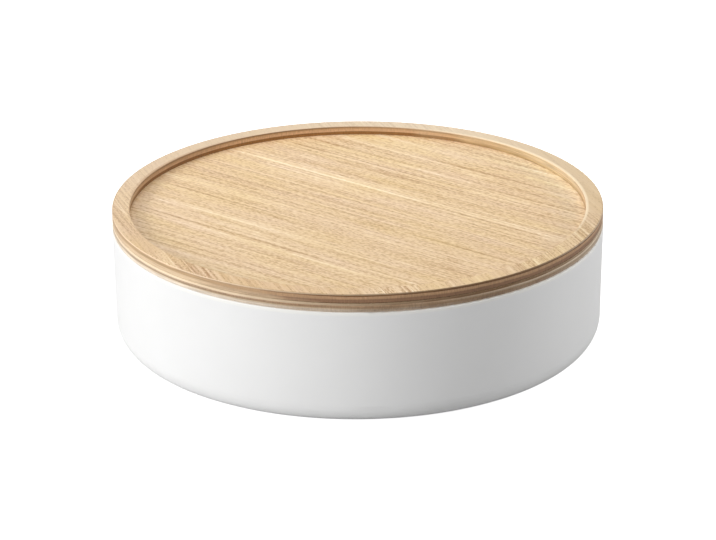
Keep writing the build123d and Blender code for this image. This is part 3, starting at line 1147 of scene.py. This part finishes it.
def soften(shape, angle):
    for face in shape.faces:
        face.smooth = True
    for edge in shape.edges:
        edge.smooth = edge.calc_face_angle(0) < angle


def make_piece(name, shape, material):
    mesh = bpy.data.meshes.new(name)
    shape.to_mesh(mesh)
    shape.free()
    mesh.materials.append(material)
    piece = bpy.data.objects.new(name, mesh)
    scene.collection.objects.link(piece)
    return piece


def felt_piece(liner, rests_on, seed):
    low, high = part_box(liner)
    shape = merged_copy(liner)
    top = max(shape.faces, key=lambda face: face.calc_center_median().z)
    area = top.calc_area()
    bmesh.ops.bevel(
        shape,
        geom=list(top.edges),
        offset=FELT_SOFT_EDGE_MM * MM,
        offset_type="OFFSET",
        segments=3,
        profile=0.5,
        affect="EDGES",
        material=-1,
    )
    cut_grid(shape, low, high, FELT_GRID_MM * MM)
    for vert in shape.verts:
        height = (vert.co.z - low.z) / (high.z - low.z)
        place = vert.co / (FELT_DENT_SIZE_MM * MM) + Vector((seed, seed, 0))
        dent = 0.5 + 0.5 * noise.noise(place)
        vert.co.z -= max(height, 0) * dent * FELT_DENT_MM * MM
    soften(shape, FELT_CREASE)
    piece = make_piece(liner.replace("_liner", "_felt"), shape, felt)
    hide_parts(liner)
    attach(piece, "bowl" if rests_on == "bowl_shell" else "tray")
    return piece, area


for number, (liner, rests_on) in enumerate(LINED_WITH_FELT.items()):
    piece, area = felt_piece(liner, rests_on, FELT_SEED_STEP * number)
    print(piece.name, "faces", len(piece.data.polygons), "area", round(area * 1e4, 1), "cm2")

# %% [markdown]
# ## Ring rolls
# The ring cushion is five rolls of foam, each wrapped in suede cloth and pressed side by side so that
# a ring slips in between two of them. The cloth is tight, so a roll swells between its foot, which is
# glued down, and its ends, where the suede is gathered and tucked in. That is what a cloth simulation
# does well: the solid is drawn in a little, remeshed, and blown up like a bag, and no point may leave
# the space that the roll has. Cloth is solved more steadily at ten times the size, so the roll is
# enlarged for it. The gathers at the ends are added afterwards, because a remesh would wipe them out.

# %% Suede material
SUEDE_DARK = rgb(0.37, 0.352, 0.335)
SUEDE_LIGHT = rgb(0.63, 0.608, 0.585)
SUEDE_STROKES_MM = (9, 4, 5)
SUEDE_BRUSHED_MM = (1.6, 0.5, 0.5)
SUEDE_NAP_MM = (0.2, 0.2, 0.2)


def suede_material():
    material, tree, shader = new_material("suede_cloth", 0.92, 0.12)
    vector = millimetres(tree)
    strokes = marks(tree, vector, SUEDE_STROKES_MM, seed=2.9, detail=3.0, roughness=0.6)
    brushed = marks(tree, vector, SUEDE_BRUSHED_MM, seed=6.3)
    nap = marks(tree, vector, SUEDE_NAP_MM, seed=4.7)
    uneven = total(tree, swing(tree, strokes, 1.2), swing(tree, brushed, 0.4), swing(tree, nap, 0.5))
    tone = calc(tree, "ADD", 0.5, uneven)
    feed(tree, shader.inputs["Base Color"], blend(tree, tone, SUEDE_DARK, SUEDE_LIGHT))
    shader.inputs["Sheen Weight"].default_value = 0.45
    shader.inputs["Sheen Roughness"].default_value = 0.45
    bump(tree, shader, total(tree, nap, swing(tree, brushed, 0.7)), depth_mm=0.06)
    return material


suede = suede_material()
print("suede nodes", len(suede.node_tree.nodes))

# %% Ring rolls
ROLL_COUNT = 5
SIM_SCALE = 10.0
SIM_FRAMES = 20
SIM_QUALITY = 6
ROLL_PRESSURE = 4.0
ROLL_VOXEL_MM = 1.1
ROLL_DRAWN_IN = 0.955
ROLL_CAP_MM = 0.6
ROLL_FOOT_MM = 0.5
ROLL_CREASE = math.radians(60)
GATHER_COUNT = 11
GATHER_DEPTH_MM = 0.28
GATHER_REACH_MM = 7.0
GATHER_TURN = 2.1
GATHER_UNEVEN = 1.5
GATHER_UNEVEN_MM = 5.0


def applied_mesh(piece):
    """The piece's mesh with its modifiers worked in."""
    seen = piece.evaluated_get(bpy.context.evaluated_depsgraph_get())
    return bpy.data.meshes.new_from_object(seen)


def start_shape(node_name, low, high):
    """The roll drawn in across its width, enlarged from the middle of its foot, and remeshed evenly."""
    middle = Vector(((low.x + high.x) / 2, (low.y + high.y) / 2, low.z))
    shape = merged_copy(node_name)
    for vert in shape.verts:
        away = vert.co - middle
        vert.co = Vector((away.x, away.y * ROLL_DRAWN_IN, away.z)) * SIM_SCALE
    piece = make_piece(node_name + "_start", shape, suede)
    remesh = piece.modifiers.new("even", "REMESH")
    remesh.mode = "VOXEL"
    remesh.voxel_size = ROLL_VOXEL_MM * MM * SIM_SCALE
    piece.data = applied_mesh(piece)
    piece.modifiers.clear()
    return piece, middle


def swell(piece):
    """Blow the roll up like a bag whose foot is glued down."""
    foot = piece.vertex_groups.new(name="foot")
    low_z = ROLL_FOOT_MM * MM * SIM_SCALE
    foot.add([v.index for v in piece.data.vertices if v.co.z < low_z], 1.0, "REPLACE")
    cloth = piece.modifiers.new("swell", "CLOTH")
    settings = cloth.settings
    settings.quality = SIM_QUALITY
    settings.use_pressure = True
    settings.uniform_pressure_force = ROLL_PRESSURE
    settings.vertex_group_mass = "foot"
    settings.effector_weights.gravity = 0.0
    for frame_number in range(1, SIM_FRAMES + 1):
        scene.frame_set(frame_number)
    swollen = applied_mesh(piece)
    piece.modifiers.clear()
    scene.frame_set(1)
    return swollen


def gather(place, low, high, phase):
    """How far a point near an end is drawn in by the tucks of the suede, in metres."""
    past = GATHER_REACH_MM * MM - min(place.x - low.x, high.x - place.x)
    if past <= 0:
        return 0.0
    share = min(past / (GATHER_REACH_MM * MM), 1.0)
    turn = math.atan2(place.z - (low.z + high.z) / 2, place.y - (low.y + high.y) / 2)
    uneven = GATHER_UNEVEN * noise.noise(place / (GATHER_UNEVEN_MM * MM))
    fold = 0.5 + 0.5 * math.cos(GATHER_COUNT * turn + phase + uneven)
    return GATHER_DEPTH_MM * MM * share * share * fold


def ring_roll(number):
    node_name = f"ring_roll_{number}"
    low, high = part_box(node_name)
    start, middle = start_shape(node_name, low, high)
    swollen = swell(start)
    cap = ROLL_CAP_MM * MM
    shape = bmesh.new()
    shape.from_mesh(start.data)
    axis = Vector((0, middle.y, (low.z + high.z) / 2))
    for vert, moved in zip(shape.verts, swollen.vertices):
        was = vert.co / SIM_SCALE
        move = moved.co / SIM_SCALE - was
        if move.length > cap:
            move.length = cap
        place = was + move + middle
        inwards = Vector((0, axis.y - place.y, axis.z - place.z))
        if inwards.length > 0:
            place += inwards.normalized() * gather(place, low, high, GATHER_TURN * number)
        vert.co = [min(max(place[k], low[k]), high[k]) for k in range(3)]
    soften(shape, ROLL_CREASE)
    piece = make_piece(f"suede_roll_{number}", shape, suede)
    bpy.data.objects.remove(start)
    smooth = piece.modifiers.new("smooth", "SUBSURF")
    smooth.levels = 1
    smooth.render_levels = 1
    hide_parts(node_name)
    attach(piece, "tray")
    return piece


for number in range(1, ROLL_COUNT + 1):
    piece = ring_roll(number)
    size = [round(d / MM, 1) for d in piece.dimensions]
    print(piece.name, "verts", len(piece.data.vertices), "size mm", size)
